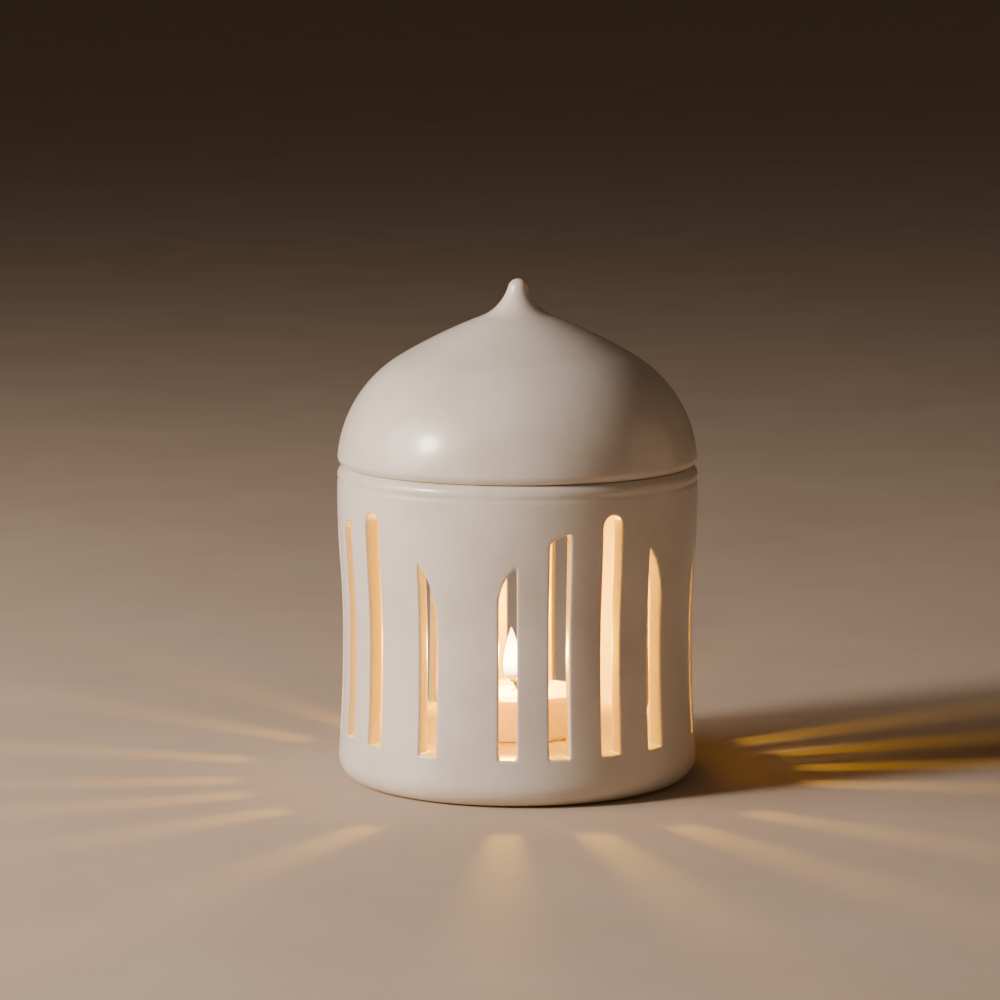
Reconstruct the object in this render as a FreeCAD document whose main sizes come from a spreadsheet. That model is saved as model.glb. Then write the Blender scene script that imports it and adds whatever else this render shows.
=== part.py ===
"""Lidded ceramic candle lantern: a slotted vessel, a domed lid, and the candle that stands inside.

Millimetres, +Z up. The origin is the middle of the foot, on the surface that the lantern stands on.
Azimuths are degrees about Z, from the front (-Y) and positive towards +X.
"""
import FreeCAD, Part
import math
import os

import Sketcher
from FreeCAD import Vector

SIZES = {
    # vessel, outside
    "seam_height": 88.5,
    "foot_radius": 43.9,
    "base_round": 6.4,
    "waist_height": 42.0,
    "waist_radius": 48.9,
    "shoulder_height": 81.0,
    "shoulder_radius": 50.4,
    "rim_round": 2.6,
    # vessel, inside
    "wall": 4.4,
    "floor_height": 12.5,
    "floor_round": 4.0,
    "recess_radius": 38.0,
    "recess_height": 6.0,
    "recess_round": 2.0,
    # slots through the wall
    "sill_height": 13.7,
    "sill_corner": 1.0,
    "rising_left": 53.5,
    "rising_middle": 63.8,
    "rising_right": 66.5,
    "slanted_left": 72.6,
    "slanted_middle": 74.6,
    "slanted_right": 75.2,
    "crown_left": 77.3,
    "crown_middle": 79.6,
    "crown_right": 75.4,
    "falling_left": 67.0,
    "falling_middle": 63.0,
    "falling_right": 51.0,
    # lid, outside
    "apex_height": 140.3,
    "lid_arc_radius": 36.0,
    "lid_arc_height": 87.8,
    "lid_arc_offset": 14.4,
    "crown_arc_radius": 150.0,
    "flare_radius": 12.0,
    "flare_lean": 14.0,
    "tip_radius": 2.9,
    "lid_edge_round": 2.4,
    # lid, inside
    "spigot_depth": 4.0,
    "spigot_radius": 45.4,
    "spigot_wall": 3.0,
    "lid_wall": 5.3,
    "ceiling_radius": 51.0,
    "bevel_rise": 3.0,
    # candle
    "candle_radius": 19.0,
    "candle_height": 12.0,
    "candle_edge": 0.7,
    "pool_radius": 15.5,
    "pool_depth": 0.7,
    "wick_radius": 0.8,
    "wick_straight": 0.4,
    "wick_bend": 2.5,
    "wick_lean": 75.0,
    "tab_radius": 6.5,
    "tab_thickness": 0.3,
    "collar_radius": 1.6,
    "collar_height": 4.0,
    "fit_gap": 0.05,
}

# Each slot's azimuth, width, shape of top, and how far its top is shifted up. Four or five slots make
# one arched window, and they are spaced by eye, as they are when cut by hand.
SLOTS = [
    (-84.0, 5.4, "slanted", -2.5),
    (-69.4, 5.6, "slanted", 0.0),
    (-52.6, 5.8, "crown", -0.8),
    (-29.7, 5.4, "falling", -0.6),
    (-3.1, 5.0, "rising", 0.0),
    (13.4, 5.7, "slanted", 0.0),
    (31.1, 6.0, "crown", 0.2),
    (49.8, 6.0, "falling", 2.9),
    (81.5, 5.8, "rising", 0.5),
    (97.0, 5.6, "slanted", 0.0),
    (112.5, 5.8, "crown", 0.0),
    (126.6, 5.5, "falling", 1.5),
    (163.5, 5.6, "rising", 9.8),
    (180.4, 5.3, "slanted", 3.0),
    (197.0, 5.7, "crown", 0.5),
    (214.2, 4.7, "falling", 8.0),
    (231.0, 5.5, "falling", -1.5),
    (255.0, 5.5, "rising", 2.0),
]

doc = FreeCAD.newDocument("candle_lantern")
sheet = doc.addObject("Spreadsheet::Sheet", "Sheet")


def fill_sheet():
    """Writes every driving size into the sheet, one alias to a row."""
    cells = dict(SIZES)
    for number, (azimuth, width, _, lift) in enumerate(SLOTS, 1):
        cells[f"slot_{number}_azimuth"] = azimuth
        cells[f"slot_{number}_width"] = width
        cells[f"slot_{number}_lift"] = lift
    for row, (alias, value) in enumerate(cells.items(), 1):
        sheet.set(f"A{row}", alias)
        sheet.set(f"B{row}", str(value))
        sheet.setAlias(f"B{row}", alias)
    doc.recompute()


def size(alias):
    return float(sheet.get(alias))


def polar(centre, radius, angle):
    """The point of a circle at an angle in degrees."""
    return (
        centre[0] + radius * math.cos(math.radians(angle)),
        centre[1] + radius * math.sin(math.radians(angle)),
    )


class Outline:
    """A closed sketch whose segments are joined end to end and placed by sheet expressions."""

    def __init__(self, body, name, plane="XZ_Plane"):
        self.sketch = body.newObject("Sketcher::SketchObject", name)
        origin = body.Origin.OriginFeatures
        self.sketch.AttachmentSupport = [(next(o for o in origin if o.Role == plane), "")]
        self.sketch.MapMode = "FlatFace"
        self.segments = []

    def line(self, start, end):
        shape = Part.LineSegment(Vector(*start, 0), Vector(*end, 0))
        self.segments.append((self.sketch.addGeometry(shape, False), 1, 2))
        return self.segments[-1][0]

    def arc(self, centre, radius, start, end):
        """An arc from the start angle to the end angle, clockwise when the end is the smaller."""
        low, high = sorted((math.radians(start), math.radians(end)))
        circle = Part.Circle(Vector(*centre, 0), Vector(0, 0, 1), radius)
        index = self.sketch.addGeometry(Part.ArcOfCircle(circle, low, high), False)
        self.segments.append((index, 1, 2) if start < end else (index, 2, 1))
        return index

    def close(self, smooth=()):
        """Joins each segment to the next; a joint that starts at a smooth segment is tangent."""
        for here, there in zip(self.segments, self.segments[1:] + self.segments[:1]):
            kind = "Tangent" if here[0] in smooth else "Coincident"
            self.sketch.addConstraint(Sketcher.Constraint(kind, here[0], here[2], there[0], there[1]))

    def add(self, *facts):
        self.sketch.addConstraint(Sketcher.Constraint(*facts))

    def drive(self, expression, *facts):
        """Adds a dimension and binds it to the sheet."""
        index = self.sketch.addConstraint(Sketcher.Constraint(*facts))
        self.sketch.setExpression(f"Constraints[{index}]", expression)

    def pin(self, segment, end, x=None, z=None):
        """Places one point, measured from the origin along each axis."""
        point = self.sketch.getPoint(segment, end)
        for kind, expression, value in (("DistanceX", x, point.x), ("DistanceY", z, point.y)):
            if expression is None:
                continue
            ends = (-1, 1, segment, end) if value >= 0 else (segment, end, -1, 1)
            self.drive(expression, kind, *ends, abs(value))

    def radius(self, segment, expression):
        self.drive(expression, "Radius", segment, self.sketch.Geometry[segment].Radius)


def new_body(label):
    body = doc.addObject("PartDesign::Body", label)
    body.Label = label
    return body


def revolve(body, outline, name):
    """Turns a half section about the sketch's vertical axis."""
    turned = body.newObject("PartDesign::Revolution", name)
    turned.Profile = (outline.sketch, [""])
    turned.ReferenceAxis = (outline.sketch, ["V_Axis"])
    turned.Angle = 360.0
    doc.recompute()
    return turned


def vessel_outline(body):
    """The vessel's half section: foot, waisted wall, rounded rim, floor and the recess below it."""
    outline = Outline(body, "vessel_outline")
    seam, foot, base = size("seam_height"), size("foot_radius"), size("base_round")
    waist, waist_z = size("waist_radius"), size("waist_height")
    shoulder, shoulder_z = size("shoulder_radius"), size("shoulder_height")
    rim, wall = size("rim_round"), size("wall")
    floor, floor_round = size("floor_height"), size("floor_round")
    recess, recess_z, recess_round = size("recess_radius"), size("recess_height"), size("recess_round")

    # Lower wall: one long arc, upright at the waist and tangent to the base's rounding.
    reach, rise = waist - foot, waist_z - base
    lower = (reach**2 + rise**2 - base**2) / (2 * (base - reach))
    lower_centre = (waist + lower, waist_z)
    lean = math.degrees(math.asin(rise / (lower + base)))
    # Upper wall: an S of two equal arcs from the upright waist to the upright shoulder.
    half_out, half_up = (shoulder - waist) / 2, (shoulder_z - waist_z) / 2
    swell = (half_out**2 + half_up**2) / (2 * half_out)
    turn = math.degrees(math.asin(half_up / swell))
    hollow_centre, full_centre = (waist + swell, waist_z), (shoulder - swell, shoulder_z)
    # The wall's inner side follows the outer one and ends in the floor's rounding.
    inner_reach = math.degrees(math.asin((waist_z - floor - floor_round) / (lower + wall + floor_round)))
    inner_foot = lower_centre[0] - (lower + wall + floor_round) * math.cos(math.radians(inner_reach))

    base_arc = outline.arc((foot, base), base, -90, lean)
    lower_arc = outline.arc(lower_centre, lower, 180 + lean, 180)
    hollow_arc = outline.arc(hollow_centre, swell, 180, 180 - turn)
    full_arc = outline.arc(full_centre, swell, -turn, 0)
    side = outline.line((shoulder, shoulder_z), (shoulder, seam - rim))
    rim_arc = outline.arc((shoulder - rim, seam - rim), rim, 0, 90)
    rim_face = outline.line((shoulder - rim, seam), (shoulder - wall, seam))
    mouth = outline.line((shoulder - wall, seam), (shoulder - wall, shoulder_z))
    full_inner = outline.arc(full_centre, swell - wall, 0, -turn)
    hollow_inner = outline.arc(hollow_centre, swell + wall, 180 - turn, 180)
    lower_inner = outline.arc(lower_centre, lower + wall, 180, 180 + inner_reach)
    floor_arc = outline.arc((inner_foot, floor + floor_round), floor_round, inner_reach, -90)
    floor_face = outline.line((inner_foot, floor), (0, floor))
    axis = outline.line((0, floor), (0, recess_z))
    ceiling = outline.line((0, recess_z), (recess - recess_round, recess_z))
    recess_arc = outline.arc((recess - recess_round, recess_z - recess_round), recess_round, 90, 0)
    recess_side = outline.line((recess, recess_z - recess_round), (recess, 0))
    foot_face = outline.line((recess, 0), (foot, 0))

    outline.close(smooth=(base_arc, lower_arc, hollow_arc, full_arc, side, rim_arc, mouth, full_inner,
                          hollow_inner, lower_inner, floor_arc, ceiling, recess_arc, foot_face))
    for level in (rim_face, floor_face, ceiling, foot_face):
        outline.add("Horizontal", level)
    for upright in (side, recess_side):
        outline.add("Vertical", upright)
    outline.add("Equal", hollow_arc, full_arc)
    for inner, outer in ((full_inner, full_arc), (hollow_inner, hollow_arc), (lower_inner, lower_arc)):
        outline.add("Coincident", inner, 3, outer, 3)
    outline.radius(base_arc, "Sheet.base_round")
    outline.radius(rim_arc, "Sheet.rim_round")
    outline.radius(floor_arc, "Sheet.floor_round")
    outline.radius(recess_arc, "Sheet.recess_round")
    outline.pin(foot_face, 2, "Sheet.foot_radius")
    outline.add("PointOnObject", foot_face, 2, -1)
    outline.pin(lower_arc, 1, "Sheet.waist_radius", "Sheet.waist_height")
    outline.add("Horizontal", lower_arc, 3, lower_arc, 1)
    outline.pin(side, 1, "Sheet.shoulder_radius", "Sheet.shoulder_height")
    outline.pin(rim_face, 2, "Sheet.shoulder_radius - Sheet.wall", "Sheet.seam_height")
    outline.pin(mouth, 2, None, "Sheet.shoulder_height")
    outline.pin(floor_face, 2, None, "Sheet.floor_height")
    outline.add("PointOnObject", floor_face, 2, -2)
    outline.pin(axis, 2, None, "Sheet.recess_height")
    outline.add("PointOnObject", axis, 2, -2)
    outline.pin(recess_side, 2, "Sheet.recess_radius")
    return outline


def slot_outline(body, number, top):
    """One slot as seen from outside: a square sill with small corners, and a curved slanting top."""
    outline = Outline(body, f"slot_{number}_outline")
    turn = f"create(<<rotation>>; create(<<vector>>; 0; 1; 0); Sheet.slot_{number}_azimuth)"
    outline.sketch.setExpression(
        "AttachmentOffset", f"create(<<placement>>; create(<<vector>>; 0; 0; 0); {turn})"
    )
    half, lift = size(f"slot_{number}_width") / 2, size(f"slot_{number}_lift")
    sill, corner = size("sill_height"), size("sill_corner")
    left, middle, right = (
        Vector(x, size(f"{top}_{where}") + lift, 0)
        for x, where in ((-half, "left"), (0, "middle"), (half, "right"))
    )
    crest = Part.Arc(right, middle, left)

    floor = outline.line((corner - half, sill), (half - corner, sill))
    right_corner = outline.arc((half - corner, sill + corner), corner, -90, 0)
    right_side = outline.line((half, sill + corner), (half, right.y))
    outline.segments.append((outline.sketch.addGeometry(crest, False), 1, 2))
    left_side = outline.line((-half, left.y), (-half, sill + corner))
    left_corner = outline.arc((corner - half, sill + corner), corner, 180, 270)
    arch = outline.segments[3][0]

    outline.close(smooth=(floor, right_corner, left_side, left_corner))
    outline.add("Horizontal", floor)
    outline.add("Equal", left_corner, right_corner)
    outline.radius(right_corner, "Sheet.sill_corner")
    outline.pin(floor, 1, None, "Sheet.sill_height")
    lifted = {
        where: f"Sheet.{top}_{where} + Sheet.slot_{number}_lift" for where in ("left", "middle", "right")
    }
    outline.pin(right_side, 2, f"Sheet.slot_{number}_width / 2", lifted["right"])
    outline.pin(left_side, 1, f"Sheet.slot_{number}_width / 2", lifted["left"])
    outline.add("Vertical", right_side)
    outline.add("Vertical", left_side)
    point = outline.sketch.addGeometry(Part.Point(middle), True)
    outline.add("PointOnObject", point, 1, -2)
    outline.add("PointOnObject", point, 1, arch)
    outline.pin(point, 1, None, lifted["middle"])
    return outline


def make_vessel():
    """The vessel, with each slot cut straight outwards from the axis through the wall."""
    body = new_body("holder_body")
    revolve(body, vessel_outline(body), "vessel")
    for number, (_, _, top, _) in enumerate(SLOTS, 1):
        outline = slot_outline(body, number, top)
        before = body.Shape.Volume
        slot = body.newObject("PartDesign::Pocket", f"slot_{number}")
        slot.Profile = (outline.sketch, [""])
        slot.Type = "ThroughAll"
        slot.Reversed = True
        doc.recompute()
        if body.Shape.Volume >= before:
            raise RuntimeError(f"slot {number} cut nothing")
    return body


def flare_centre():
    """The centre of the arc that leads from the finial's rounded tip out to the crown."""
    tip = size("tip_radius")
    return polar((0, size("apex_height") - tip), tip + size("flare_radius"), size("flare_lean"))


def crown_centre():
    """The centre of the crown's arc, which touches the lid's lower arc and the finial's flare."""
    crown = size("crown_arc_radius")
    low = (size("lid_arc_offset"), size("lid_arc_height"))
    high = flare_centre()
    to_low, to_high = crown - size("lid_arc_radius"), crown + size("flare_radius")
    across, up = high[0] - low[0], high[1] - low[1]
    apart = math.hypot(across, up)
    along = (to_low**2 - to_high**2 + apart**2) / (2 * apart)
    aside = math.sqrt(to_low**2 - along**2)
    return (
        low[0] + (along * across - aside * up) / apart,
        low[1] + (along * up + aside * across) / apart,
    )


def make_lid():
    """The domed lid: four tangent arcs up to the finial's tip, hollow, with a spigot below."""
    body = new_body("lid")
    outline = Outline(body, "lid_outline")
    seam, apex = size("seam_height"), size("apex_height")
    tip, flare, crown, low = (
        size(alias) for alias in ("tip_radius", "flare_radius", "crown_arc_radius", "lid_arc_radius")
    )
    edge, wall, ceiling = size("lid_edge_round"), size("lid_wall"), size("ceiling_radius")
    spigot, spigot_foot = size("spigot_radius"), seam - size("spigot_depth")
    spigot_bore = spigot - size("spigot_wall")
    low_centre = (size("lid_arc_offset"), size("lid_arc_height"))
    top_centre = crown_centre()
    lean = size("flare_lean")

    def direction(here, there):
        return math.degrees(math.atan2(there[1] - here[1], there[0] - here[0]))

    steep, flat = direction(top_centre, low_centre), direction(top_centre, flare_centre())
    # The lower edge's rounding touches the low arc from inside and the seam's plane from above.
    edge_z = seam + edge
    edge_lean = math.degrees(math.asin((edge_z - low_centre[1]) / (low - edge)))
    edge_r = low_centre[0] + (low - edge) * math.cos(math.radians(edge_lean))
    # The inner side: a low arc that follows the outer one, then a ceiling centred on the axis.
    inner = low - wall
    ceiling_z = low_centre[1] - math.sqrt((ceiling - inner) ** 2 - low_centre[0] ** 2)
    inner_turn = direction((0, ceiling_z), low_centre)
    bevel = math.degrees(math.asin((seam + size("bevel_rise") - low_centre[1]) / inner))
    bevel_top = polar(low_centre, inner, bevel)

    edge_arc = outline.arc((edge_r, edge_z), edge, -90, edge_lean)
    low_arc = outline.arc(low_centre, low, edge_lean, steep)
    crown_arc = outline.arc(top_centre, crown, steep, flat)
    flare_arc = outline.arc(flare_centre(), flare, 180 + flat, 180 + lean)
    tip_arc = outline.arc((0, apex - tip), tip, lean, 90)
    axis = outline.line((0, apex), (0, ceiling_z + ceiling))
    ceiling_arc = outline.arc((0, ceiling_z), ceiling, 90, inner_turn)
    inner_arc = outline.arc(low_centre, inner, inner_turn, bevel)
    bevel_face = outline.line(bevel_top, (spigot_bore, seam))
    bore = outline.line((spigot_bore, seam), (spigot_bore, spigot_foot))
    spigot_face = outline.line((spigot_bore, spigot_foot), (spigot, spigot_foot))
    spigot_side = outline.line((spigot, spigot_foot), (spigot, seam))
    seat = outline.line((spigot, seam), (edge_r, seam))

    outline.close(smooth=(edge_arc, low_arc, crown_arc, flare_arc, ceiling_arc, seat))
    for level in (spigot_face, seat):
        outline.add("Horizontal", level)
    for upright in (bore, spigot_side, axis):
        outline.add("Vertical", upright)
    outline.add("PointOnObject", tip_arc, 3, -2)
    outline.add("PointOnObject", tip_arc, 2, -2)
    outline.add("PointOnObject", ceiling_arc, 3, -2)
    outline.add("Coincident", inner_arc, 3, low_arc, 3)
    outline.radius(edge_arc, "Sheet.lid_edge_round")
    outline.radius(low_arc, "Sheet.lid_arc_radius")
    outline.radius(crown_arc, "Sheet.crown_arc_radius")
    outline.radius(flare_arc, "Sheet.flare_radius")
    outline.radius(tip_arc, "Sheet.tip_radius")
    outline.radius(ceiling_arc, "Sheet.ceiling_radius")
    outline.radius(inner_arc, "Sheet.lid_arc_radius - Sheet.lid_wall")
    outline.pin(low_arc, 3, "Sheet.lid_arc_offset", "Sheet.lid_arc_height")
    outline.pin(tip_arc, 1, "Sheet.tip_radius * cos(Sheet.flare_lean * 1 deg)")
    outline.pin(axis, 1, None, "Sheet.apex_height")
    outline.pin(seat, 1, "Sheet.spigot_radius", "Sheet.seam_height")
    outline.pin(bevel_face, 1, None, "Sheet.seam_height + Sheet.bevel_rise")
    outline.pin(bore, 1, "Sheet.spigot_radius - Sheet.spigot_wall", "Sheet.seam_height")
    outline.pin(spigot_face, 1, None, "Sheet.seam_height - Sheet.spigot_depth")
    revolve(body, outline, "dome")
    return body


def value_of(expression):
    """The value of a sheet expression made of aliases, plus and minus signs."""
    total, sign = 0.0, 1
    for word in expression.split():
        if word in "+-":
            sign = 1 if word == "+" else -1
        else:
            value = size(word.removeprefix("Sheet.")) if word.startswith("Sheet.") else float(word)
            total += sign * value
    return total


def step_outline(outline, corners):
    """Joins corners with level and upright lines; each corner is a pair of sheet expressions."""
    values = [tuple(value_of(expression) for expression in corner) for corner in corners]
    sides = [outline.line(here, there) for here, there in zip(values, values[1:] + values[:1])]
    outline.close()
    for side, corner in zip(sides, corners):
        outline.pin(side, 1, *corner)


def stand_on_floor(body):
    """A candle piece is drawn from its own base and placed on the vessel's floor."""
    body.setExpression("Placement.Base.z", "Sheet.floor_height")


def make_wax():
    """The wax: a low round pillar with rounded edges, a shallow melt pool and room for the wick."""
    body = new_body("candle_wax")
    outline = Outline(body, "wax_outline")
    top = "Sheet.candle_height"
    pool = "Sheet.candle_height - Sheet.pool_depth"
    bore = "Sheet.wick_radius + Sheet.fit_gap"
    collar = ("Sheet.collar_radius + Sheet.fit_gap", "Sheet.collar_height + Sheet.fit_gap")
    tab = ("Sheet.tab_radius + Sheet.fit_gap", "Sheet.tab_thickness + Sheet.fit_gap")
    step_outline(outline, [
        (tab[0], "0"), ("Sheet.candle_radius", "0"), ("Sheet.candle_radius", top),
        ("Sheet.pool_radius + Sheet.pool_depth", top), ("Sheet.pool_radius", pool),
        (bore, pool), (bore, collar[1]), (collar[0], collar[1]), (collar[0], tab[1]), tab,
    ])
    wax = revolve(body, outline, "wax")
    rims = [
        f"Edge{number}" for number, edge in enumerate(wax.Shape.Edges, 1)
        if edge.Closed and math.isclose(edge.Curve.Radius, size("candle_radius"), abs_tol=1e-4)
    ]
    rounding = body.newObject("PartDesign::Fillet", "wax_rounding")
    rounding.Base = (wax, rims)
    rounding.setExpression("Radius", "Sheet.candle_edge")
    stand_on_floor(body)
    return body


def make_tab():
    """The steel tab under the wax: a thin disc with a collar that grips the wick."""
    body = new_body("wick_sustainer")
    outline = Outline(body, "tab_outline")
    bore = "Sheet.wick_radius + Sheet.fit_gap"
    step_outline(outline, [
        (bore, "0"), ("Sheet.tab_radius", "0"), ("Sheet.tab_radius", "Sheet.tab_thickness"),
        ("Sheet.collar_radius", "Sheet.tab_thickness"), ("Sheet.collar_radius", "Sheet.collar_height"),
        (bore, "Sheet.collar_height"),
    ])
    revolve(body, outline, "tab")
    stand_on_floor(body)
    return body


def make_wick():
    """The wick: upright through the tab and the wax, then bent over where it has burned."""
    body = new_body("wick")
    path = Outline(body, "wick_path")
    foot, bend = size("tab_thickness"), size("wick_bend")
    bend_z = size("candle_height") + size("wick_straight")
    upright = path.line((0, foot), (0, bend_z))
    lean = path.arc((-bend, bend_z), bend, 0, size("wick_lean"))
    path.add("Tangent", upright, 2, lean, 1)
    path.add("PointOnObject", upright, 1, -2)
    path.add("Vertical", upright)
    path.pin(upright, 1, None, "Sheet.tab_thickness")
    path.pin(upright, 2, None, "Sheet.candle_height + Sheet.wick_straight")
    path.radius(lean, "Sheet.wick_bend")
    path.drive("Sheet.wick_lean", "Angle", lean, math.radians(size("wick_lean")))

    section = Outline(body, "wick_section", "XY_Plane")
    circle = section.sketch.addGeometry(Part.Circle(Vector(), Vector(0, 0, 1), size("wick_radius")), False)
    section.add("Coincident", circle, 3, -1, 1)
    section.radius(circle, "Sheet.wick_radius")
    section.sketch.setExpression("AttachmentOffset.Base.z", "Sheet.tab_thickness")
    doc.recompute()
    pipe = body.newObject("PartDesign::AdditivePipe", "braid")
    pipe.Profile = section.sketch
    pipe.Spine = (path.sketch, ["Edge1", "Edge2"])
    stand_on_floor(body)
    return body


def check(bodies):
    """Stops if any object failed, a sketch is loose, or a sub-part isn't one valid solid."""
    doc.recompute()
    failed = [o.Name for o in doc.Objects if "Invalid" in o.State or "Error" in o.State]
    if failed:
        raise RuntimeError(f"failed to recompute: {failed}")
    sketches = [o for o in doc.Objects if o.TypeId == "Sketcher::SketchObject"]
    loose = [sketch.Name for sketch in sketches if not sketch.FullyConstrained]
    if loose:
        raise RuntimeError(f"not fully constrained: {loose}")
    for body in bodies:
        shape = body.Shape
        if shape.isNull() or not shape.isValid() or len(shape.Solids) != 1:
            raise RuntimeError(f"{body.Label} isn't one valid solid")
        print(f"{body.Label}: {shape.Volume / 1000:.2f} cm3, {len(shape.Faces)} faces")


def main():
    fill_sheet()
    bodies = [make_vessel(), make_lid(), make_wax(), make_tab(), make_wick()]
    check(bodies)
    os.makedirs("parts", exist_ok=True)
    for body in bodies:
        body.Shape.exportStep(f"parts/{body.Label}.step")


main()
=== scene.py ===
"""Looks for the lidded ceramic candle lantern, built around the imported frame.

The shapes are drawn in millimetres and scaled to Blender's metres once, in new_mesh. Lights, the camera
and the scales of noise are in metres. Azimuths are degrees from the front (-Y), positive towards +X, as
on the CAD part.
"""

import math

import bmesh
import bpy
import numpy as np
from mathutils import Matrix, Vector


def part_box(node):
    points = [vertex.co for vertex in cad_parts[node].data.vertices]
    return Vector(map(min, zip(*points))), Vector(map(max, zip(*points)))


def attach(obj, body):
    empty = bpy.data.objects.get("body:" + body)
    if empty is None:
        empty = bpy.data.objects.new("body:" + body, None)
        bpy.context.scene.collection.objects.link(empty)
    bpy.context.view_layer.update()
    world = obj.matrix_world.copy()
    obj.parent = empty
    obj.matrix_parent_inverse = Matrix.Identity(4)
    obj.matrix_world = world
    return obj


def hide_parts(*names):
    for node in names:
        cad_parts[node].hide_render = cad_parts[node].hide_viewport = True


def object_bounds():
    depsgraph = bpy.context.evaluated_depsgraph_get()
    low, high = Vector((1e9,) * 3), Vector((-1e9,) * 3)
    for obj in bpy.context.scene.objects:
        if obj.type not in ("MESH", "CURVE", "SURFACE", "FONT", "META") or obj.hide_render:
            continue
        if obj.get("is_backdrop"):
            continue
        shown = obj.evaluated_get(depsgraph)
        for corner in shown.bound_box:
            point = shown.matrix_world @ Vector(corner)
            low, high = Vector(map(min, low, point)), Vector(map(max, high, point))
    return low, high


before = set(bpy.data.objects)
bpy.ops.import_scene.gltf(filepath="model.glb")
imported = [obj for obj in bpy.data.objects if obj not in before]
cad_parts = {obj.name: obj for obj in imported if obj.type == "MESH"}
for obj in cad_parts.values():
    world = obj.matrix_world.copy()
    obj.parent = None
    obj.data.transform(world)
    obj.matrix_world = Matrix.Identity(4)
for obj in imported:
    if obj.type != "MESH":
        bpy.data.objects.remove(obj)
cad_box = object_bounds()

MM = 0.001
BODY_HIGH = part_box("holder_body")[1] / MM
LID_LOW, LID_HIGH = (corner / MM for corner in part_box("lid"))
WAX_LOW, WAX_HIGH = (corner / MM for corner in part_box("candle_wax"))
WICK_LOW, WICK_HIGH = (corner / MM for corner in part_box("wick"))

# Vessel
SEAM_Z = BODY_HIGH.z
FLOOR_Z = WAX_LOW.z
SHOULDER_R = 50.4
SHOULDER_Z = 81.0
WAIST_R = 48.9
WAIST_Z = 42.0
BASE_ROUND = 6.4
WALL_FOOT_Z = BASE_ROUND + 0.5
FOOT_R = 43.9
WALL = 4.4
WALL_R = 50.0
FLOOR_ROUND = 4.0
RECESS_R = 38.0
RECESS_Z = 6.0
RECESS_ROUND = 1.6
SILL_Z = 13.7
RIM_ROUND = 2.6
GROOVE_Z = 84.7
GROOVE_DEPTH = 0.20
GROOVE_SPREAD = 0.75
WALL_WAVERS = (0.05, 0.035)

# Between these radii the vessel's colour turns from a painted amber candlelight glow inside to the
# off-white glaze outside.
GLOW_PAINT_FULL_R = 45.5
GLOW_PAINT_END_R = 49.0

# Slots: the heights of each shape of top at its left, middle and right, then each slot's azimuth, width,
# shape of top and how much higher than that shape it is cut, as in the CAD part.
TOPS = {
    "rising": (53.5, 63.8, 66.5),
    "slanted": (72.6, 74.6, 75.2),
    "crown": (77.3, 79.6, 75.4),
    "falling": (67.0, 63.0, 51.0),
}
SLOTS = [
    (-84.0, 5.4, "slanted", -2.5),
    (-69.4, 5.6, "slanted", 0.0),
    (-52.6, 5.8, "crown", -0.8),
    (-29.7, 5.4, "falling", -0.6),
    (-3.1, 5.0, "rising", 0.0),
    (13.4, 5.7, "slanted", 0.0),
    (31.1, 6.0, "crown", 0.2),
    (49.8, 6.0, "falling", 2.9),
    (81.5, 5.8, "rising", 0.5),
    (97.0, 5.6, "slanted", 0.0),
    (112.5, 5.8, "crown", 0.0),
    (126.6, 5.5, "falling", 1.5),
    (163.5, 5.6, "rising", 9.8),
    (180.4, 5.3, "slanted", 3.0),
    (197.0, 5.7, "crown", 0.5),
    (214.2, 4.7, "falling", 8.0),
    (231.0, 5.5, "falling", -1.5),
    (255.0, 5.5, "rising", 2.0),
]

# The vessel's grid. A line of points runs EDGE_SUPPORT beside each cut edge, and up to STEEPEST times as
# far where a slot's top is steep, as measured over SLOPE_STEP. The wall between two slots gets a column
# for about every GAP_COLUMN at the radius WALL_R, and its faces are settled above SETTLE_Z.
EDGE_SUPPORT = 0.7
OPENING_COLUMNS = 6
OPENING_ROWS = 15
ROWS_ABOVE = 6
GAP_COLUMN = 2.4
SLOPE_STEP = 0.3
STEEPEST = 2.2
SETTLE_Z = 9.0

# Lid
LID_ARC_R = 36.0
LID_ARC_Z = 87.8
LID_ARC_OFFSET = 14.4
CROWN_ARC_R = 150.0
FLARE_R = 12.0
FLARE_LEAN = 14.0
TIP_R = 2.9
LID_EDGE_ROUND = 2.4
SPIGOT_R = 45.4
SPIGOT_WALL = 3.0
SPIGOT_ROUND = 0.7
LID_WALL = 5.3
BEVEL_RISE = 3.0
CEILING_R = 51.0
FINIAL_LEAN = 0.2
FINIAL_Z = 133.0
DOME_WAVER = 0.0008

# Candle and flame
WAX_R = 19.0
WAX_FOOT_ROUND = 1.1
WAX_RIM_ROUND = 1.2
POOL_R = 15.5
POOL_DEPTH = 0.7
WICK_R = 0.8
WICK_BEND = 2.5
WICK_LEAN = 75.0
FLAME_X = -1.7
FLAME_Z = 25.9
FLAME_HEIGHT = 16.3
FLAME_R = 2.6
FLAME_LEAN = 0.2
LAMP_RISE = 9.0

# Camera and floor, in metres; the camera's tilt and turn are in degrees
CAMERA_AT = (0.0, -1.200, 0.2406)
CAMERA_DOWN = 7.71
CAMERA_LEFT = 0.233
CAMERA_LENS = 155.8
FLOOR_SIZE = 24.0
FLOOR_DROP = 0.00003


def new_mesh(name, points, faces):
    """A smooth-shaded object from points in millimetres."""
    mesh = bpy.data.meshes.new(name)
    mesh.from_pydata([tuple(c * MM for c in p) for p in points], [], faces)
    piece = bpy.data.objects.new(name, mesh)
    bpy.context.scene.collection.objects.link(piece)
    build = bmesh.new()
    build.from_mesh(mesh)
    bmesh.ops.recalc_face_normals(build, faces=build.faces)
    build.to_mesh(mesh)
    build.free()
    mesh.polygons.foreach_set("use_smooth", [True] * len(mesh.polygons))
    return piece


def polar(centre, radius, angle):
    """The point at a distance and an angle in degrees from a centre."""
    return (
        centre[0] + radius * math.cos(math.radians(angle)),
        centre[1] + radius * math.sin(math.radians(angle)),
    )


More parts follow.
